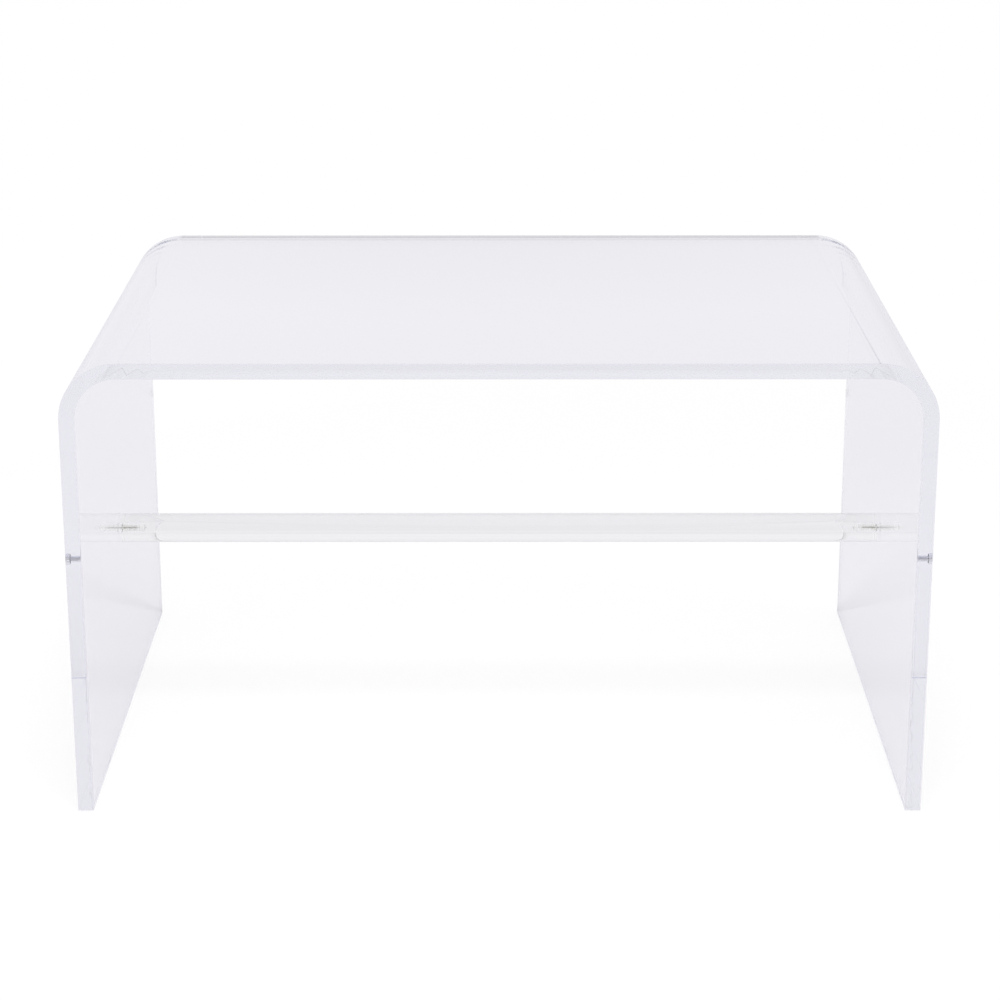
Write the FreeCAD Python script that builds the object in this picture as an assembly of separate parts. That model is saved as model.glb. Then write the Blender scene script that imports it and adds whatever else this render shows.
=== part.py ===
import FreeCAD, Part
import math
import os

# Waterfall coffee table in clear acrylic.
#
# One sheet is heated and bent into the top and both side panels. A round acrylic
# rod runs between the panels at half depth and stops them spreading. A cap screw
# through each panel, with its head sunk below the outer face, pulls the panel
# against the rod's end.
#
# Millimetres. The origin is on the floor under the middle of the table.
# +X is to the right, +Y to the back, +Z up.

# Table
table_width = 813.0
table_depth = 508.0
table_height = 450.0

# Sheet
sheet_thickness = 15.0
inner_bend_radius = 40.0
edge_rounding = 1.0            # on the flame-polished edges

# Stretcher rod
rod_diameter = 30.0
rod_centre_height = 198.0
rod_end_chamfer = 1.0

# Cap screws, M6 with a low head
thread_diameter = 6.0
screw_length = 25.0            # under the head
screw_tip_chamfer = 0.8
head_diameter = 10.0
head_height = 4.0
head_chamfer = 0.6
hex_socket_width = 4.0         # across the flats
hex_socket_depth = 2.3

# Drilled holes
head_side_clearance = 1.0      # between the head and the wall of its counterbore
head_recess = 1.0              # from the panel's outer face in to the head
shank_clearance = 0.3          # between the shank and its hole in the panel
thread_clearance = 0.05        # between the thread and its hole in the rod
hole_runout = 8.0              # straight hole past the screw's tip
hole_mouth_chamfer = 0.7
drill_point_angle = 118.0

# Places that follow from the sizes
panel_outer_x = table_width / 2
panel_inner_x = panel_outer_x - sheet_thickness
front_y = -table_depth / 2
outer_bend_radius = inner_bend_radius + sheet_thickness
bend_centre_x = panel_outer_x - outer_bend_radius
bend_centre_z = table_height - outer_bend_radius
head_seat_x = panel_outer_x - head_recess - head_height
screw_tip_x = head_seat_x - screw_length
thread_hole_end_x = screw_tip_x - hole_runout

touching = 0.001               # closer than this is in the same plane

point = FreeCAD.Vector
along_x = point(1, 0, 0)
along_y = point(0, 1, 0)


def line(start, end):
    return Part.LineSegment(start, end).toShape()


# ---------------------------------------------------------------- bent sheet

def bend(side, radius):
    """Start, middle and end of a bend, from a panel up to the top.
    side is -1 on the left and 1 on the right."""
    points = []
    for degrees in (0, 45, 90):
        angle = math.radians(degrees)
        x = side * (bend_centre_x + radius * math.cos(angle))
        z = bend_centre_z + radius * math.sin(angle)
        points.append(point(x, front_y, z))
    return points


def sheet_face_line(radius):
    """One face of the sheet seen from the front, from the left foot to the right foot."""
    foot_x = bend_centre_x + radius
    left, right = bend(-1, radius), bend(1, radius)
    return [
        line(point(-foot_x, front_y, 0), left[0]),
        Part.Arc(*left).toShape(),
        line(left[2], right[2]),
        Part.Arc(*right).toShape(),
        line(right[0], point(foot_x, front_y, 0)),
    ]


def sheet_end_line(side):
    """The sheet's sawn end, across the foot of one panel."""
    return line(point(side * panel_outer_x, front_y, 0), point(side * panel_inner_x, front_y, 0))


def round_edges(sheet):
    """Rounds every edge of the two long polished edges and of the two feet."""
    edges = []
    for edge in sheet.Edges:
        box = edge.BoundBox
        on_front_or_back = box.YLength < touching
        on_floor = box.ZMax < touching
        if on_front_or_back or on_floor:
            edges.append(edge)
    return sheet.makeFillet(edge_rounding, edges)


def waterfall_sheet():
    outline = sheet_face_line(outer_bend_radius) + sheet_face_line(inner_bend_radius)
    outline += [sheet_end_line(-1), sheet_end_line(1)]
    section = Part.Face(Part.Wire(Part.__sortEdges__(outline)))
    sheet = round_edges(section.extrude(along_y * table_depth))
    return sheet.cut([panel_hole(-1), panel_hole(1)])


# ------------------------------------------- pieces turned about the rod's axis

def turned(side, outline):
    """The solid that an outline of (x, radius) points makes about the rod's axis.
    The outline is for the right-hand side, and side = -1 mirrors it to the left."""
    points = [point(side * x, 0, rod_centre_height + radius) for x, radius in outline]
    section = Part.Face(Part.makePolygon(points + points[:1]))
    solid = section.revolve(point(0, 0, rod_centre_height), along_x, 360)
    if solid.Volume < 0:
        solid.reverse()
    return solid


def panel_hole(side):
    """A stepped hole: the counterbore for the screw's head, then the shank's hole."""
    bore = head_diameter / 2 + head_side_clearance
    shank = thread_diameter / 2 + shank_clearance
    return turned(side, [
        (panel_inner_x, 0), (panel_inner_x, shank), (head_seat_x, shank),
        (head_seat_x, bore), (panel_outer_x, bore), (panel_outer_x, 0),
    ])


def thread_hole(side):
    """The blind tapped hole in one end of the rod, with a chamfered mouth and a drill point."""
    radius = thread_diameter / 2 + thread_clearance
    point_length = radius / math.tan(math.radians(drill_point_angle / 2))
    return turned(side, [
        (thread_hole_end_x - point_length, 0), (thread_hole_end_x, radius),
        (panel_inner_x - hole_mouth_chamfer, radius),
        (panel_inner_x, radius + hole_mouth_chamfer), (panel_inner_x, 0),
    ])


def stretcher_rod():
    radius = rod_diameter / 2
    rod = turned(1, [
        (-panel_inner_x, 0), (-panel_inner_x, radius - rod_end_chamfer),
        (-panel_inner_x + rod_end_chamfer, radius), (panel_inner_x - rod_end_chamfer, radius),
        (panel_inner_x, radius - rod_end_chamfer), (panel_inner_x, 0),
    ])
    return rod.cut([thread_hole(-1), thread_hole(1)])


def hex_socket(side):
    """The key's hexagonal pocket in a screw's head."""
    corner_radius = hex_socket_width / 2 / math.cos(math.radians(30))
    head_top_x = side * (head_seat_x + head_height)
    corners = []
    for corner in range(7):
        angle = math.radians(60 * corner)
        y = corner_radius * math.cos(angle)
        z = rod_centre_height + corner_radius * math.sin(angle)
        corners.append(point(head_top_x, y, z))
    pocket = Part.Face(Part.makePolygon(corners))
    return pocket.extrude(along_x * -side * hex_socket_depth)


def cap_screw(side):
    thread, head = thread_diameter / 2, head_diameter / 2
    head_top_x = head_seat_x + head_height
    screw = turned(side, [
        (screw_tip_x, 0), (screw_tip_x, thread - screw_tip_chamfer),
        (screw_tip_x + screw_tip_chamfer, thread), (head_seat_x, thread),
        (head_seat_x, head), (head_top_x - head_chamfer, head),
        (head_top_x, head - head_chamfer), (head_top_x, 0),
    ])
    return screw.cut(hex_socket(side))


# ---------------------------------------------------------------- write the pieces

pieces = {
    "waterfall_sheet": waterfall_sheet(),
    "stretcher_rod": stretcher_rod(),
    "left_cap_screw": cap_screw(-1),
    "right_cap_screw": cap_screw(1),
}

os.makedirs("parts", exist_ok=True)
for name, shape in pieces.items():
    shape.exportStep(f"parts/{name}.step")
    print(f"{name}: {len(shape.Solids)} solid, valid {shape.isValid()}, {shape.Volume / 1000:.1f} cm3")
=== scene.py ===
import math

import bmesh
import bpy
from mathutils import Matrix, Vector


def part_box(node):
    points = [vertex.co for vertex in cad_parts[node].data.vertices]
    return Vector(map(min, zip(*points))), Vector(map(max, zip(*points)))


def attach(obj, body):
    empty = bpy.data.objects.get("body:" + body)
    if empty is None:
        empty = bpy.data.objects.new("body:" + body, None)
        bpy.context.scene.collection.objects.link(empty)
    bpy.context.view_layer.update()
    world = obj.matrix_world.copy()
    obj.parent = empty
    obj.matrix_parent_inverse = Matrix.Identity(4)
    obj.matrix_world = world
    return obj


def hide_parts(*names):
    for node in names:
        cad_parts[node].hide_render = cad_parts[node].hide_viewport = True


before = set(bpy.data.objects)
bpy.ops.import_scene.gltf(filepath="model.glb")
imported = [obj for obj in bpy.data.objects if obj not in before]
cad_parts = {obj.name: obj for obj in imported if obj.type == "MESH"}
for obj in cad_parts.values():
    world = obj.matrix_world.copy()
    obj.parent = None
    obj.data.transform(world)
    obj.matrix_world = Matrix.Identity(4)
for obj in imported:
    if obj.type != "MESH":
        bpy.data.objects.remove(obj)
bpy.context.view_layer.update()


# ------------------------------------------------------------------ bent sheet
# One sheet of clear cast acrylic makes the top and both side panels. Its edges are
# flame-polished, then two bands are heated and bent over a former. A stepped hole is
# drilled through each panel for the screw that holds the stretcher rod.

sheet_thickness = 0.015
inner_bend_radius = 0.040
bend_steps = 64
edge_draw_in = 0.0005          # of a bend's stretched outer side, at its polished edges
draw_in_full = 0.3             # sine times cosine of the turn from which the draw-in is full
edge_rounding = 0.0008
foot_rounding = 0.0024         # across the thickness, at the corners of the feet
rounding_steps = 4
sharp_turn = math.radians(35)  # between two faces that make an edge
hole_steps = 64
past_face = 0.002              # how far a drill passes a panel's face

head_radius = 0.005
head_height = 0.004
thread_radius = 0.003
head_side_clearance = 0.001
head_recess = 0.001            # from the panel's outer face in to the head
shank_clearance = 0.0003
counterbore_radius = head_radius + head_side_clearance
shank_hole_radius = thread_radius + shank_clearance

acrylic_ior = 1.49
absorption_density = 0.14
sheet_tint = (0.984, 0.982, 0.988, 1)
sheet_absorption = (0.35, 0.42, 0.73, 1)
sheet_lamp_share = 0.95        # of the lamps' light that goes straight through one face
grazing_lamp_share = 0.3
grazing_start = 0.6            # 0 is square to the face, and 1 is along it

# A thin grey line painted on the top near each bend is a painted reflection: it stands in for the
# dark edge of a reflection.
painted_reflection_tint = (0.66, 0.655, 0.68, 1)
painted_reflection_x = 0.3468         # where the painted reflection line crosses the top, at half depth
painted_reflection_slant = 0.0115
painted_reflection_width = 0.0017

haze_pattern = {"scale": 7.0, "detail": 5.0}
wiping_pattern = {"scale": 40.0, "detail": 2.0, "stretch": (1, 26, 1), "turn": (0, 0, 0.5)}
polished_edge_roughness = 0.01
drilled_roughness = 0.06
past_wall = 0.0005             # how far the drilled finish reaches past the counterbore's wall

millimetre = 0.001
edge_waves = {"height": 0.015, "scale": 30.0, "detail": 1.0, "stretch": (1, 1, 0.4)}
bend_waves = {"height": 0.03, "scale": 7.0, "detail": 0.0, "stretch": (3, 1, 3)}
saw_marks = {"height": 0.012, "scale": 350.0, "detail": 2.0, "stretch": (1, 0.04, 1)}
saw_wander = {"height": 0.22, "scale": 90.0, "detail": 1.0, "stretch": (1, 0.25, 1)}
on_face = 0.0002               # nearer to a face than this is on it
edge_zone = 0.002              # from the front or back, where an edge's finish sets in
waves_before_bend = 0.010      # where a bend's waves set in, and where they are full
waves_into_bend = 0.015
flat_face_weight = 100         # how much more a broad face counts than its roundings

# Each of these is a reach, and the levels at its two ends.
haze_amount = (0.3, 0.8), (0.0, 0.006)
scratch_amount = (0.735, 0.75), (0.0, 0.035)
line_fading_back = (-0.25, 0.05), (1.0, 0.12)
line_fading_left = (-0.1, 0.1), (0.2, 1.0)

off_to_on = (0.0, 1.0)
on_to_off = (1.0, 0.0)

rod_low, rod_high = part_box("stretcher_rod")
sheet_low, sheet_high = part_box("waterfall_sheet")
axis_height = (rod_low.z + rod_high.z) / 2
panel_outer_x = sheet_high.x
panel_inner_x = panel_outer_x - sheet_thickness
head_seat_x = panel_outer_x - (head_height + head_recess)
bend_centre_x = panel_inner_x - inner_bend_radius
bend_centre_z = sheet_high.z - sheet_thickness - inner_bend_radius
bend_start_x = (bend_centre_x - waves_before_bend, bend_centre_x + waves_into_bend)
bend_start_z = (bend_centre_z - waves_before_bend, bend_centre_z + waves_into_bend)
edge_start_y = (sheet_high.y - edge_zone, sheet_high.y - edge_rounding)


def add_node(tree, kind, values, **settings):
    """A new node in a tree. values gives each input a number, or the output that feeds it."""
    made = tree.nodes.new(kind)
    for name, value in settings.items():
        setattr(made, name, value)
    for socket, value in values.items():
        if isinstance(value, bpy.types.NodeSocket):
            tree.links.new(value, made.inputs[socket])
        else:
            made.inputs[socket].default_value = value
    return made


def calc(tree, operation, *values):
    """The result of a Math node. From the third on, a value goes with the result so far."""
    made = add_node(tree, "ShaderNodeMath", dict(enumerate(values[:2])), operation=operation)
    if len(values) > 2:
        return calc(tree, operation, made.outputs[0], *values[2:])
    return made.outputs[0]


def squares(tree, one, other):
    """The sum of two values' squares."""
    return calc(tree, "ADD", calc(tree, "MULTIPLY", one, one), calc(tree, "MULTIPLY", other, other))


def ramp(tree, value, reach, levels):
    """A level that runs straight from one to the other while a value crosses its reach."""
    made = add_node(tree, "ShaderNodeMapRange", {
        "Value": value, "From Min": reach[0], "From Max": reach[1],
        "To Min": levels[0], "To Max": levels[1]})
    return made.outputs[0]


def noise(tree, place, scale, detail, stretch=(1, 1, 1), turn=(0, 0, 0)):
    """Smooth random values from 0 to 1, in a pattern that may be stretched and turned."""
    mapped = add_node(tree, "ShaderNodeMapping", {
        "Vector": place, "Scale": stretch, "Rotation": turn})
    made = add_node(tree, "ShaderNodeTexNoise", {
        "Vector": mapped.outputs[0], "Scale": scale, "Detail": detail})
    return made.outputs[0]


def waves(tree, place, height, **pattern):
    """The height in mm of slow waves or fine marks in a surface."""
    return calc(tree, "MULTIPLY", noise(tree, place, **pattern), height)


def split(tree, place):
    """The X, Y and Z of a place."""
    return add_node(tree, "ShaderNodeSeparateXYZ", {"Vector": place}).outputs


def mix(tree, share, colour, other):
    """A colour with a share of another colour in it."""
    made = add_node(tree, "ShaderNodeMixRGB", {"Fac": share, "Color1": colour, "Color2": other})
    return made.outputs[0]


def on_edge(tree, place):
    """1 on the sheet's long polished edges at the front and back, and 0 on its faces."""
    depthwise = calc(tree, "ABSOLUTE", split(tree, place)["Y"])
    return ramp(tree, depthwise, edge_start_y, off_to_on)


def in_hole(tree, place):
    """1 on the walls of the holes about the rod's axis, and 0 elsewhere."""
    across_axis = add_node(tree, "ShaderNodeMapping", {
        "Vector": place, "Location": (0, 0, -axis_height), "Scale": (0, 1, 1)}).outputs[0]
    radius = add_node(tree, "ShaderNodeVectorMath", {0: across_axis}, operation="LENGTH")
    return calc(tree, "LESS_THAN", radius.outputs["Value"], counterbore_radius + past_wall)


def handling_marks(tree, place, hole_roughness):
    """Roughness: a trace of haze, hairline scratches from wiping, softer flame-polished edges,
    and drilled holes that are left as cut."""
    haze = ramp(tree, noise(tree, place, **haze_pattern), *haze_amount)
    scratches = ramp(tree, noise(tree, place, **wiping_pattern), *scratch_amount)
    polished_edge = calc(tree, "MULTIPLY", on_edge(tree, place), polished_edge_roughness)
    cut = calc(tree, "MULTIPLY", in_hole(tree, place), hole_roughness)
    return calc(tree, "MAXIMUM", calc(tree, "ADD", haze, scratches), polished_edge, cut)


def clear_acrylic(name, tint, bump, absorption, lamp_share, hole_roughness):
    """Clear acrylic. tint and bump make its colour and the height of its surface, from the tree
    and the place. lamp_share is how much of the lamps' light goes straight through a face."""
    material = bpy.data.materials.new(name)
    material.use_nodes = True
    tree = material.node_tree
    tree.nodes.clear()
    place = add_node(tree, "ShaderNodeTexCoord", {}).outputs["Object"]
    relief = add_node(tree, "ShaderNodeBump", {
        "Height": bump(tree, place), "Distance": millimetre, "Strength": 1.0})
    glass = add_node(tree, "ShaderNodeBsdfPrincipled", {
        "Base Color": tint(tree, place), "Transmission Weight": 1.0, "IOR": acrylic_ior,
        "Roughness": handling_marks(tree, place, hole_roughness), "Normal": relief.outputs[0]})
    path = add_node(tree, "ShaderNodeLightPath", {}).outputs
    slant = add_node(tree, "ShaderNodeLayerWeight", {}).outputs["Facing"]
    let_through = ramp(tree, slant, (grazing_start, 1.0), (lamp_share, grazing_lamp_share))
    lamp_light = add_node(tree, "ShaderNodeBsdfTransparent", {"Color": let_through})
    shell = add_node(tree, "ShaderNodeMixShader", {
        0: path["Is Shadow Ray"], 1: glass.outputs[0], 2: lamp_light.outputs[0]})
    inside = add_node(tree, "ShaderNodeVolumeAbsorption", {
        "Color": absorption, "Density": absorption_density})
    add_node(tree, "ShaderNodeOutputMaterial", {
        "Surface": shell.outputs[0], "Volume": inside.outputs[0]})
    return material


def sheet_colour(tree, place):
    """Clear, with a thin grey painted reflection line on the top near each bend, plainest front
    right.
    """
    where = split(tree, place)
    outward = calc(tree, "ABSOLUTE", where["X"])
    slanted = calc(tree, "MULTIPLY", where["Y"], painted_reflection_slant)
    line_x = calc(tree, "SUBTRACT", painted_reflection_x, slanted)
    from_line = calc(tree, "ABSOLUTE", calc(tree, "SUBTRACT", outward, line_x))
    on_line = ramp(tree, from_line, (painted_reflection_width / 4, painted_reflection_width * 3 / 4), on_to_off)
    on_top = calc(tree, "GREATER_THAN", where["Z"], sheet_high.z - on_face)
    fading = calc(tree, "MULTIPLY", ramp(tree, where["Y"], *line_fading_back),
                  ramp(tree, where["X"], *line_fading_left))
    mark = calc(tree, "MULTIPLY", on_line, on_top, fading)
    return mix(tree, mark, sheet_tint, painted_reflection_tint)


def sheet_waves(tree, place):
    """Slow waves in the polished edges and the bends, and saw marks under the feet, in mm."""
    where = split(tree, place)
    outward = calc(tree, "ABSOLUTE", where["X"])
    on_bend = calc(tree, "MULTIPLY", ramp(tree, outward, bend_start_x, off_to_on),
                   ramp(tree, where["Z"], bend_start_z, off_to_on))
    on_foot = calc(tree, "LESS_THAN", where["Z"], on_face)
    sawn = calc(tree, "ADD", waves(tree, place, **saw_marks), waves(tree, place, **saw_wander))
    edge = calc(tree, "MULTIPLY", on_edge(tree, place), waves(tree, place, **edge_waves))
    bend = calc(tree, "MULTIPLY", on_bend, waves(tree, place, **bend_waves))
    foot = calc(tree, "MULTIPLY", on_foot, sawn)
    return calc(tree, "ADD", edge, bend, foot)


def plain_mesh(made, name):
    """A mesh with the faces that were built for it."""
    mesh = bpy.data.meshes.new(name)
    made.to_mesh(mesh)
    made.free()
    return mesh


def turned(outline, steps):
    """A closed mesh of (x, radius) points turned about the rod's axis."""
    made = bmesh.new()
    rings = []
    for x, radius in outline:
        if radius == 0:
            rings.append([made.verts.new((x, 0, axis_height))] * steps)
            continue
        ring = []
        for step in range(steps):
            angle = math.tau * step / steps
            place = (x, radius * math.cos(angle), axis_height + radius * math.sin(angle))
            ring.append(made.verts.new(place))
        rings.append(ring)
    for near, far in zip(rings, rings[1:]):
        for step in range(steps):
            after = (step + 1) % steps
            corners = [near[step], far[step], far[after], near[after]]
            made.faces.new(list(dict.fromkeys(corners)))
    bmesh.ops.recalc_face_normals(made, faces=made.faces)
    return plain_mesh(made, "turned")


def on_side(side, outline):
    """The right-hand side's outline, or its mirror image where side is -1."""
    return [(side * x, radius) for x, radius in outline]


def shown(name, mesh):
    """An object for a mesh, at the origin."""
    made = bpy.data.objects.new(name, mesh)
    bpy.context.scene.collection.objects.link(made)
    return made


def finished(name, rough):
    """A piece's plain mesh with its modifiers applied, in place of the rough object."""
    bpy.context.view_layer.update()
    seen = rough.evaluated_get(bpy.context.evaluated_depsgraph_get())
    mesh = bpy.data.meshes.new_from_object(seen)
    bpy.data.objects.remove(rough)
    return shown(name, mesh)


def cut_away(piece, cutters):
    """Takes the cutters' shapes out of a piece."""
    for cutter in cutters:
        cut = piece.modifiers.new("cut", "BOOLEAN")
        cut.object = cutter
        cut.solver = "EXACT"
    done = finished(piece.name, piece)
    for cutter in cutters:
        bpy.data.objects.remove(cutter)
    return done


def weigh_normals(piece):
    """Keeps broad flat faces optically flat where they run into small roundings."""
    piece.data.shade_smooth()
    piece.data.set_sharp_from_angle(angle=sharp_turn)
    weighted = piece.modifiers.new("weigh", "WEIGHTED_NORMAL")
    weighted.weight = flat_face_weight
    weighted.keep_sharp = True


def new_tree(name, sizes, whole_numbers=()):
    """A Geometry Nodes tree that takes a mesh, named sizes and a material, and makes a mesh."""
    tree = bpy.data.node_groups.new(name, "GeometryNodeTree")
    tree.interface.new_socket("Mesh", in_out="INPUT", socket_type="NodeSocketGeometry")
    for size in sizes:
        tree.interface.new_socket(size, in_out="INPUT", socket_type="NodeSocketFloat")
    for number in whole_numbers:
        tree.interface.new_socket(number, in_out="INPUT", socket_type="NodeSocketInt")
    tree.interface.new_socket("Material", in_out="INPUT", socket_type="NodeSocketMaterial")
    tree.interface.new_socket("Mesh", in_out="OUTPUT", socket_type="NodeSocketGeometry")
    return tree, add_node(tree, "NodeGroupInput", {}).outputs


def end_tree(tree, made, material):
    """Ends a tree with its result as real faces in their material."""
    real = add_node(tree, "GeometryNodeRealizeInstances", {"Geometry": made})
    coated = add_node(tree, "GeometryNodeSetMaterial", {
        "Geometry": real.outputs[0], "Material": material})
    add_node(tree, "NodeGroupOutput", {0: coated.outputs[0]})
    return tree


def run_tree(piece, tree, **values):
    """Puts a tree on a piece and sets its named inputs."""
    modifier = piece.modifiers.new(tree.name, "NODES")
    modifier.node_group = tree
    for item in tree.interface.items_tree:
        wanted = values.get(item.name.replace(" ", "_").lower())
        if item.in_out == "INPUT" and wanted is not None:
            modifier[item.identifier] = wanted


def bending_tree():
    """Bends a sheet along the line of its middle, given as a mesh of straight edges, and draws
    in the polished edges of its bends on the stretched outer side."""
    tree, given = new_tree("bent sheet", ("Depth", "Thickness", "Bend Radius", "Bend Centre X",
                                          "Bend Centre Z", "Edge Draw In"), ("Bend Steps",))
    line = add_node(tree, "GeometryNodeMeshToCurve", {"Mesh": given["Mesh"]})
    bent = add_node(tree, "GeometryNodeFilletCurve", {
        "Curve": line.outputs[0], "Radius": given["Bend Radius"],
        "Count": given["Bend Steps"]}, mode="POLY")
    section = add_node(tree, "GeometryNodeCurvePrimitiveQuadrilateral", {
        "Width": given["Thickness"], "Height": given["Depth"]}, mode="RECTANGLE")
    swept = add_node(tree, "GeometryNodeCurveToMesh", {
        "Curve": bent.outputs[0], "Profile Curve": section.outputs[0], "Fill Caps": True})

    where = split(tree, add_node(tree, "GeometryNodeInputPosition", {}).outputs[0])
    past_centre = calc(tree, "SUBTRACT", calc(tree, "ABSOLUTE", where["X"]), given["Bend Centre X"])
    over_centre = calc(tree, "SUBTRACT", where["Z"], given["Bend Centre Z"])
    out = calc(tree, "MAXIMUM", 0.0, past_centre)
    up = calc(tree, "MAXIMUM", 0.0, over_centre)
    radius_squared = squares(tree, out, up)
    from_middle = calc(tree, "SUBTRACT", calc(tree, "SQRT", radius_squared), given["Bend Radius"])
    stretched = calc(tree, "ADD", 0.5, calc(tree, "DIVIDE", from_middle, given["Thickness"]))
    turn = calc(tree, "DIVIDE", calc(tree, "MULTIPLY", out, up), radius_squared)
    in_bend = ramp(tree, turn, (0.0, draw_in_full), off_to_on)
    draw_in = calc(tree, "MULTIPLY", stretched, in_bend, given["Edge Draw In"])
    inward = calc(tree, "MULTIPLY", calc(tree, "SIGN", where["Y"]),
                  calc(tree, "MULTIPLY", draw_in, -1.0))
    offset = add_node(tree, "ShaderNodeCombineXYZ", {"Y": inward}).outputs[0]
    drawn = add_node(tree, "GeometryNodeSetPosition", {
        "Geometry": swept.outputs[0], "Offset": offset})
    return end_tree(tree, drawn.outputs[0], given["Material"])


def middle_line():
    """The line of the sheet's middle before bending: up, across and down."""
    side = panel_outer_x - sheet_thickness / 2
    top = sheet_high.z - sheet_thickness / 2
    mesh = bpy.data.meshes.new("middle line")
    mesh.from_pydata([(-side, 0, 0), (-side, 0, top), (side, 0, top), (side, 0, 0)],
                     [(0, 1), (1, 2), (2, 3)], [])
    return mesh


def mark_edges(mesh):
    """Marks how much each sharp edge is rounded, as a share of the rounding at the feet."""
    weights = mesh.attributes.new("bevel_weight_edge", "FLOAT", "EDGE")
    measured = bmesh.new()
    measured.from_mesh(mesh)
    for edge in measured.edges:
        if edge.calc_face_angle() < sharp_turn:
            continue
        start, end = (corner.co for corner in edge.verts)
        across_foot = max(start.z, end.z) < foot_rounding and abs(start.y - end.y) < foot_rounding
        weights.data[edge.index].value = 1.0 if across_foot else edge_rounding / foot_rounding
    measured.free()


sheet_acrylic = clear_acrylic(
    "sheet acrylic", tint=sheet_colour, bump=sheet_waves, absorption=sheet_absorption,
    lamp_share=sheet_lamp_share, hole_roughness=drilled_roughness)
rough_sheet = shown("rough sheet", middle_line())
run_tree(rough_sheet, bending_tree(), depth=sheet_high.y - sheet_low.y,
         thickness=sheet_thickness, bend_radius=inner_bend_radius + sheet_thickness / 2,
         bend_centre_x=bend_centre_x, bend_centre_z=bend_centre_z, edge_draw_in=edge_draw_in,
         bend_steps=bend_steps, material=sheet_acrylic)
flat_cut = finished("flat cut sheet", rough_sheet)

mark_edges(flat_cut.data)
rounding = flat_cut.modifiers.new("rounding", "BEVEL")
rounding.width = foot_rounding
rounding.segments = rounding_steps
rounding.limit_method = "WEIGHT"
polished = finished("polished sheet", flat_cut)

stepped_drill = [
    (panel_inner_x - past_face, 0), (panel_inner_x - past_face, shank_hole_radius),
    (head_seat_x, shank_hole_radius), (head_seat_x, counterbore_radius),
    (panel_outer_x + past_face, counterbore_radius), (panel_outer_x + past_face, 0)]
drills = []
for side in (-1, 1):
    drills.append(shown("drill", turned(on_side(side, stepped_drill), hole_steps)))
drilled = cut_away(polished, drills)
weigh_normals(drilled)
bent_sheet = finished("bent_sheet", drilled)
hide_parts("waterfall_sheet")
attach(bent_sheet, "root")


# ------------------------------------------------------------------ stretcher rod
# A bar of clear acrylic between the panels, turned square at its ends. Each end has a
# blind tapped hole, drilled deeper than the thread is cut.

rod_end_chamfer = 0.00008
rod_steps = 96
air_gap = 0.00005              # between the rod's ends and the panels
rod_tint = (0.992, 0.994, 0.978, 1)
rod_absorption = (0.40, 0.42, 0.50, 1)
rod_lamp_share = 0.4
tapped_roughness = 0.08
turning_waves = {"height": 0.01, "scale": 30.0, "detail": 1.0, "stretch": (0.15, 1, 1)}

screw_length = 0.025           # under the head
thread_pitch = 0.001
thread_depth = 0.0004
crest_flat = 1 / 8             # a share of the pitch
root_flat = 1 / 4
rings_per_turn = 6
past_thread = 0.0001           # how far from the thread's own wall its cutting reaches
thread_clearance = 0.00005
hole_runout = 0.008            # past the screw's tip
hole_mouth_chamfer = 0.0007
drill_point_angle = math.radians(118)
plain_hole_end = 0.004         # not reached by the tap
plain_mouth = 0.004            # drilled out for the screw's plain shank

rod_radius = (rod_high.z - rod_low.z) / 2
rod_end_x = panel_inner_x - air_gap
bore_radius = thread_radius + thread_clearance
bore_mouth_x = rod_end_x - hole_mouth_chamfer
tap_start_x = rod_end_x - plain_mouth
hole_end_x = head_seat_x - screw_length - hole_runout
tap_end_x = hole_end_x + plain_hole_end
drill_point = bore_radius / math.tan(drill_point_angle / 2)


def rod_colour(tree, place):
    """Clear, the same all over."""
    return rod_tint


def rod_waves(tree, place):
    """Faint turning waves along the rod, in mm."""
    return waves(tree, place, **turning_waves)


def threading_tree():
    """Cuts a right-hand thread about the rod's axis into every face that is near enough to it."""
    tree, given = new_tree("cut thread", ("Axis Height", "Reach", "Pitch", "Depth", "Near End",
                                          "Far End"))
    where = split(tree, add_node(tree, "GeometryNodeInputPosition", {}).outputs[0])
    rise = calc(tree, "SUBTRACT", where["Z"], given["Axis Height"])
    radius = calc(tree, "SQRT", squares(tree, where["Y"], rise))
    turns = calc(tree, "DIVIDE", calc(tree, "ARCTAN2", rise, where["Y"]), math.tau)
    along = calc(tree, "DIVIDE", where["X"], given["Pitch"])
    within_turn = calc(tree, "FRACT", calc(tree, "SUBTRACT", along, turns))
    from_crest = calc(tree, "SUBTRACT", calc(tree, "MULTIPLY", within_turn, 2.0), 1.0)
    groove = ramp(tree, calc(tree, "ABSOLUTE", from_crest), (crest_flat, 1 - root_flat), off_to_on)

    outward = calc(tree, "ABSOLUTE", where["X"])
    one_turn = (0.0, given["Pitch"])
    near_end = ramp(tree, calc(tree, "SUBTRACT", outward, given["Near End"]), one_turn, off_to_on)
    far_end = ramp(tree, calc(tree, "SUBTRACT", given["Far End"], outward), one_turn, off_to_on)
    depth = calc(tree, "MULTIPLY", calc(tree, "MULTIPLY", groove, given["Depth"]),
                 calc(tree, "MULTIPLY", near_end, far_end))
    kept = calc(tree, "SUBTRACT", 1.0, calc(tree, "DIVIDE", depth, radius))
    moved = add_node(tree, "ShaderNodeCombineXYZ", {
        "X": where["X"], "Y": calc(tree, "MULTIPLY", where["Y"], kept),
        "Z": calc(tree, "ADD", calc(tree, "MULTIPLY", rise, kept), given["Axis Height"])})
    cut = add_node(tree, "GeometryNodeSetPosition", {
        "Geometry": given["Mesh"], "Selection": calc(tree, "LESS_THAN", radius, given["Reach"]),
        "Position": moved.outputs[0]})
    return end_tree(tree, cut.outputs[0], given["Material"])


def run_of_rings(start, end, radius):
    """Points along a straight wall, close enough together to carry a thread."""
    count = round(abs(end - start) / thread_pitch * rings_per_turn)
    return [(start + (end - start) * step / count, radius) for step in range(1, count)]


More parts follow.
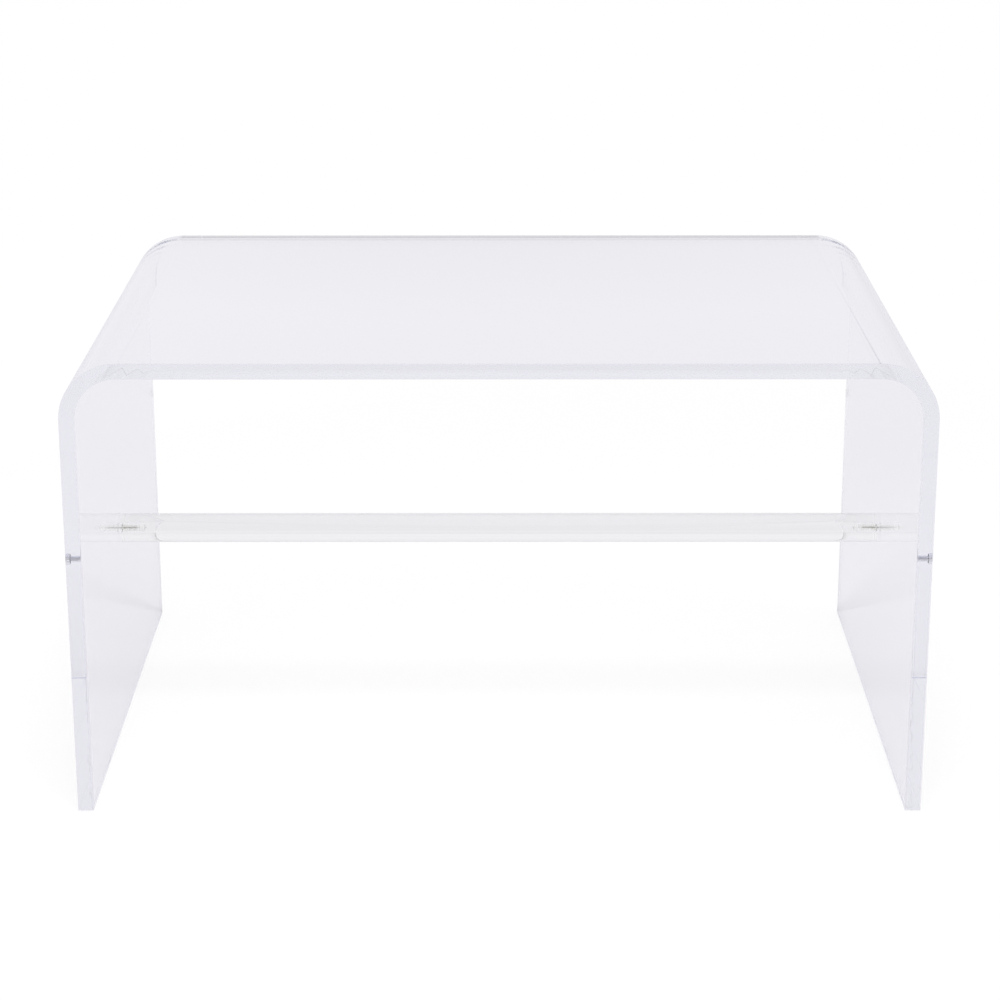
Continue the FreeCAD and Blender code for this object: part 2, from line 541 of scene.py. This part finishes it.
right_end = [
    (rod_end_x - rod_end_chamfer, rod_radius), (rod_end_x, rod_radius - rod_end_chamfer),
    (rod_end_x, bore_radius + hole_mouth_chamfer), (bore_mouth_x, bore_radius)]
right_end += run_of_rings(tap_start_x, tap_end_x, bore_radius)
right_end += [(tap_end_x, bore_radius), (hole_end_x, bore_radius), (hole_end_x - drill_point, 0)]
left_end = on_side(-1, reversed(right_end))

rod_acrylic = clear_acrylic(
    "rod acrylic", tint=rod_colour, bump=rod_waves, absorption=rod_absorption,
    lamp_share=rod_lamp_share, hole_roughness=tapped_roughness)
threading = threading_tree()
rough_rod = shown("rough rod", turned(left_end + right_end, rod_steps))
run_tree(rough_rod, threading, axis_height=axis_height, reach=bore_radius + past_thread,
         pitch=thread_pitch, depth=thread_depth, near_end=tap_end_x, far_end=tap_start_x,
         material=rod_acrylic)
tapped_rod = finished("tapped rod", rough_rod)
weigh_normals(tapped_rod)
rod = finished("clear_rod", tapped_rod)
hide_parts("stretcher_rod")
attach(rod, "root")


# ------------------------------------------------------------------ cap screws
# Low-headed stainless cap screws with a hex socket, one through each panel into the rod's
# end. The head sits in its counterbore, just below the panel's outer face.

screw_steps = 48
tip_chamfer = 0.0008
head_chamfer = 0.0006
socket_width = 0.004           # across the flats
socket_depth = 0.0023
socket_sides = 6
plain_shank = 0.014            # under the head, not threaded
past_seat = 0.0001             # how far under the head the painted highlight of its side reaches

steel_colour = (0.74, 0.74, 0.76, 1)
# Painted highlights: the head's side and the screw's part inside the rod are painted lighter than
# the plain steel.
head_side_highlight_colour = (0.96, 0.96, 0.96, 1)
screw_in_rod_highlight_colour = (0.97, 0.97, 0.93, 1)
turning_rings = {"Scale": 2600.0, "Distortion": 0.6, "Detail": 2.0}
ring_depth = 0.00001
ring_strength = 0.4
dull_pattern = {"scale": 900.0, "detail": 3.0}
turned_roughness = (0.16, 0.24)
dull_spots = (0.45, 0.8), (0.0, 0.16)

tip_x = head_seat_x - screw_length
shank_end_x = head_seat_x - plain_shank
head_top_x = head_seat_x + head_height


def bright_steel():
    """Polished stainless steel with fine rings round the axis and a few dull spots. The head's side
    and the part inside the rod are painted lighter than the rest: painted highlights that stand in
    for bright reflections."""
    material = bpy.data.materials.new("bright steel")
    material.use_nodes = True
    tree = material.node_tree
    place = add_node(tree, "ShaderNodeTexCoord", {}).outputs["Object"]
    centred = add_node(tree, "ShaderNodeMapping", {
        "Vector": place, "Location": (0, 0, -axis_height)}).outputs[0]
    rings = add_node(tree, "ShaderNodeTexWave", {"Vector": centred, **turning_rings},
                     wave_type="RINGS", rings_direction="X").outputs[0]
    spots = ramp(tree, noise(tree, place, **dull_pattern), *dull_spots)
    rough = calc(tree, "ADD", ramp(tree, rings, off_to_on, turned_roughness), spots)

    outward = calc(tree, "ABSOLUTE", split(tree, place)["X"])
    in_panel = calc(tree, "GREATER_THAN", outward, panel_inner_x)
    above_seat = calc(tree, "GREATER_THAN", outward, head_seat_x - past_seat)
    below_chamfer = calc(tree, "LESS_THAN", outward, head_top_x - head_chamfer)
    head_side = calc(tree, "MULTIPLY", above_seat, below_chamfer)
    colour = mix(tree, head_side, mix(tree, in_panel, screw_in_rod_highlight_colour, steel_colour),
                 head_side_highlight_colour)

    tooled = add_node(tree, "ShaderNodeBump", {
        "Height": rings, "Distance": ring_depth, "Strength": ring_strength})
    shine = tree.nodes["Principled BSDF"]
    shine.inputs["Metallic"].default_value = 1.0
    tree.links.new(colour, shine.inputs["Base Color"])
    tree.links.new(rough, shine.inputs["Roughness"])
    tree.links.new(tooled.outputs[0], shine.inputs["Normal"])
    return material


def hex_key_shape(side):
    """The prism that a hex key fills, turned to lie along the screw's axis."""
    made = bmesh.new()
    corner_radius = socket_width / 2 / math.cos(math.pi / socket_sides)
    lie_down = Matrix.Rotation(math.pi / 2, 4, "Y")
    into_head = Matrix.Translation((side * head_top_x, 0, axis_height)) @ lie_down
    bmesh.ops.create_cone(made, cap_ends=True, segments=socket_sides, radius1=corner_radius,
                          radius2=corner_radius, depth=socket_depth * 2, matrix=into_head)
    return plain_mesh(made, "hex key")


steel = bright_steel()
screw_outline = [
    (tip_x, 0), (tip_x, thread_radius - tip_chamfer), (tip_x + tip_chamfer, thread_radius)]
screw_outline += run_of_rings(tip_x + tip_chamfer, shank_end_x, thread_radius)
screw_outline += [
    (shank_end_x, thread_radius), (head_seat_x, thread_radius), (head_seat_x, head_radius),
    (head_top_x - head_chamfer, head_radius), (head_top_x, head_radius - head_chamfer),
    (head_top_x, 0)]

for side, name in ((-1, "left"), (1, "right")):
    blank = shown("blank", turned(on_side(side, screw_outline), screw_steps))
    run_tree(blank, threading, axis_height=axis_height, reach=thread_radius + past_thread,
             pitch=thread_pitch, depth=thread_depth, near_end=tip_x, far_end=shank_end_x,
             material=steel)
    threaded = finished("threaded screw", blank)
    socketed = cut_away(threaded, [shown("hex key", hex_key_shape(side))])
    weigh_normals(socketed)
    screw = finished(name + "_steel_screw", socketed)
    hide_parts(name + "_cap_screw")
    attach(screw, "root")


# ------------------------------------------------------------------ studio
# A white floor and backdrop, a dim room in front, three softboxes, and a camera a little
# above the table. Acrylic and metal show the floor and the backdrop a shade greyer.

floor_reach = 30.0
floor_height = -0.0005
white = (1, 1, 1, 1)
greyer = (0.875, 0.868, 0.906, 1)
room_strength = 0.60

dim_patch_place = (0, 2.6, 0)
foot_x = (panel_outer_x + panel_inner_x) / 2
fan_contrast = 0.18            # of the painted shadow wedges on the floor behind each back foot
fan_size = 0.03
fan_soft_side = 0.15
side_level = 0.967

# Each of these is a reach on the floor, in metres or in radians about a foot, and the levels
# at its two ends.
# The floor levels below are painted shade in its shine, seen in and through the table. The floor is
# dimmer far in front, in a patch behind the table, and near the table as its painted shadow. It is
# uneven from left to right and darker towards the sides.
dim_patch_levels = (0.5, 1.3), (0.93, 1.02)
dim_front_levels = (-1.9, -1.1), (0.58, 1.0)
dim_near_levels = (0.9, 1.3), (0.978, 1.02)
fan_start_angle = (-0.1, 0.1), (0.65, 0.4)
fan_end_levels = (1.05, 1.2), (fan_contrast, 0.0)
uneven_levels = (0.5, 0.9), (0.025, -0.012)
floor_side_levels = (0.8, 1.3), (1.0, side_level)
lit_share_levels = (0.9, 1.6), (0.7, 1.0)
camera_lit_levels = (0.6, 1.5), (0.8, 1.0)

# And these are reaches of a direction in the room.
room_front_levels = (-0.9, -0.1), (0.46, 1.01)
room_above_levels = (0.45, 0.65), (0.0, 1.01)
room_height_levels = (0.28, 0.42), (1.01, 0.985)
room_side_levels = (0.2, 0.32), (1.0, side_level)


def ray_colour(tree, path):
    """White for what the camera sees of the studio, greyer in and through the table."""
    in_object = calc(tree, "MAXIMUM", path["Is Glossy Ray"], path["Is Transmission Ray"])
    return mix(tree, in_object, white, greyer), in_object


def behind_feet(tree, where):
    """1, and less in two painted shadow wedges that spread over the floor behind each back foot."""
    outward = calc(tree, "ABSOLUTE", where["X"])
    beside = calc(tree, "ABSOLUTE", calc(tree, "SUBTRACT", outward, foot_x))
    behind = calc(tree, "SUBTRACT", where["Y"], sheet_high.y)
    from_foot = calc(tree, "SQRT", squares(tree, beside, behind))
    angle = calc(tree, "ARCTAN2", beside, behind)
    past_start = calc(tree, "SUBTRACT", angle, ramp(tree, where["X"], *fan_start_angle))
    in_fan = calc(tree, "MULTIPLY", ramp(tree, past_start, (0.0, fan_soft_side), off_to_on),
                  ramp(tree, angle, *fan_end_levels))
    fading = calc(tree, "DIVIDE", fan_size, calc(tree, "ADD", from_foot, fan_size))
    return calc(tree, "SUBTRACT", 1.0, calc(tree, "MULTIPLY", in_fan, fading))


def floor_paint():
    """White paint that shines by itself, with painted shade and shadow in the level it shines at.
    It shines less round the table, where it takes the shadow.
    """
    material = bpy.data.materials.new("floor paint")
    material.use_nodes = True
    tree = material.node_tree
    tree.nodes.clear()
    path = add_node(tree, "ShaderNodeLightPath", {}).outputs
    place = add_node(tree, "ShaderNodeTexCoord", {}).outputs["Object"]
    where = split(tree, place)
    from_table = add_node(
        tree, "ShaderNodeVectorMath", {0: place}, operation="LENGTH").outputs["Value"]
    from_patch = add_node(
        tree, "ShaderNodeVectorMath", {0: place, 1: dim_patch_place},
        operation="DISTANCE").outputs["Value"]

    # Painted shade and shadow: the level dims the floor far in front, in a patch behind, and near
    # the table as its painted shadow. It also tilts from left to right, darkens the sides and holds
    # the painted shadow wedges behind the feet.
    dimmest = calc(tree, "MINIMUM", ramp(tree, from_patch, *dim_patch_levels),
                   ramp(tree, where["Y"], *dim_front_levels),
                   ramp(tree, from_table, *dim_near_levels))
    uneven = calc(tree, "MULTIPLY", where["X"], ramp(tree, from_table, *uneven_levels))
    sides = ramp(tree, calc(tree, "ABSOLUTE", where["X"]), *floor_side_levels)
    level = calc(tree, "MULTIPLY", dimmest, behind_feet(tree, where),
                 calc(tree, "ADD", 1.0, uneven), sides)

    colour, in_object = ray_colour(tree, path)
    shaded = add_node(tree, "ShaderNodeBsdfDiffuse", {"Color": colour})
    lit = add_node(tree, "ShaderNodeEmission", {
        "Color": colour, "Strength": calc(tree, "MAXIMUM", level, path["Is Camera Ray"])})
    shown_ray = calc(tree, "MAXIMUM", in_object, path["Is Camera Ray"])
    lit_share = calc(tree, "MULTIPLY", shown_ray, ramp(tree, from_table, *lit_share_levels))
    camera_lit_share = calc(tree, "MULTIPLY", path["Is Camera Ray"],
                            ramp(tree, from_table, *camera_lit_levels))
    both = add_node(tree, "ShaderNodeMixShader", {
        0: calc(tree, "MAXIMUM", lit_share, camera_lit_share),
        1: shaded.outputs[0], 2: lit.outputs[0]})
    add_node(tree, "ShaderNodeOutputMaterial", {"Surface": both.outputs[0]})
    return material


def studio_room():
    """A white room all round, dim in front below the lamps, that lights the floor evenly."""
    room = bpy.data.worlds.new("studio")
    room.use_nodes = True
    tree = room.node_tree
    tree.nodes.clear()
    path = add_node(tree, "ShaderNodeLightPath", {}).outputs
    towards = split(tree, add_node(tree, "ShaderNodeTexCoord", {}).outputs["Generated"])
    front = calc(tree, "MAXIMUM", ramp(tree, towards["Y"], *room_front_levels),
                 ramp(tree, towards["Z"], *room_above_levels))
    dimmest = calc(tree, "MINIMUM", ramp(tree, towards["Z"], *room_height_levels), front)
    sides = ramp(tree, calc(tree, "ABSOLUTE", towards["X"]), *room_side_levels)
    level = calc(tree, "MULTIPLY", dimmest, sides)

    colour, in_object = ray_colour(tree, path)
    lit = add_node(tree, "ShaderNodeBackground", {
        "Color": colour, "Strength": calc(tree, "MAXIMUM", level, path["Is Camera Ray"])})
    room_light = add_node(tree, "ShaderNodeBackground", {
        "Color": white, "Strength": room_strength})
    shown_ray = calc(tree, "MAXIMUM", in_object, path["Is Camera Ray"])
    both = add_node(tree, "ShaderNodeMixShader", {
        0: shown_ray, 1: room_light.outputs[0], 2: lit.outputs[0]})
    add_node(tree, "ShaderNodeOutputWorld", {"Surface": both.outputs[0]})
    return room


def softbox(name, place, aim, width, height, brightness):
    """A rectangular lamp, not seen in or through the table. Its power follows from its size
    and how bright its face is."""
    lamp = bpy.data.lights.new(name, "AREA")
    lamp.shape = "RECTANGLE"
    lamp.size, lamp.size_y = width, height
    lamp.energy = brightness * width * height * math.pi
    made = bpy.data.objects.new(name, lamp)
    made.location = place
    made.rotation_euler = (Vector(aim) - Vector(place)).to_track_quat("-Z", "Y").to_euler()
    made.visible_glossy = made.visible_transmission = False
    bpy.context.scene.collection.objects.link(made)


floor_mesh = bpy.data.meshes.new("floor")
floor_mesh.from_pydata([(-floor_reach, -floor_reach, floor_height),
                        (floor_reach, -floor_reach, floor_height),
                        (floor_reach, floor_reach, floor_height),
                        (-floor_reach, floor_reach, floor_height)], [], [(0, 1, 2, 3)])
floor = shown("floor", floor_mesh)
floor.data.materials.append(floor_paint())
bpy.context.scene.world = studio_room()

softbox("overhead", place=(0, -0.9, 2.8), aim=(0, 0, 0), width=1.0, height=1.0, brightness=13.0)
for side, name in ((-1, "left"), (1, "right")):
    softbox(name, place=(side * 2.4, -0.6, 1.5), aim=(0, 0, 0.2), width=1.6, height=1.8,
            brightness=1.2)

picture_pixels = 1000
focal_pixels = 2495.5
view_centre_row = 350
camera_place = (0.0036, -2.4466, 1.0935)
camera_pitch = math.radians(16.036)
camera_yaw = math.radians(-0.064)
camera_roll = math.radians(-0.047)

camera = bpy.data.cameras.new("camera")
camera.sensor_width = 36
camera.lens = focal_pixels / picture_pixels * camera.sensor_width
camera.shift_y = (view_centre_row - picture_pixels / 2) / picture_pixels
camera_object = bpy.data.objects.new("camera", camera)
bpy.context.scene.collection.objects.link(camera_object)
camera_object.matrix_world = (
    Matrix.Translation(camera_place) @ Matrix.Rotation(-camera_yaw, 4, "Z")
    @ Matrix.Rotation(math.pi / 2 - camera_pitch, 4, "X") @ Matrix.Rotation(camera_roll, 4, "Z"))
bpy.context.scene.camera = camera_object

inner_bounces = 400            # light that is caught in a bend crosses the sheet hundreds of times
see_through_faces = 32
scene = bpy.context.scene
scene.view_settings.view_transform = "Standard"
scene.cycles.max_bounces = inner_bounces
scene.cycles.glossy_bounces = inner_bounces
scene.cycles.transmission_bounces = inner_bounces
scene.cycles.transparent_max_bounces = see_through_faces
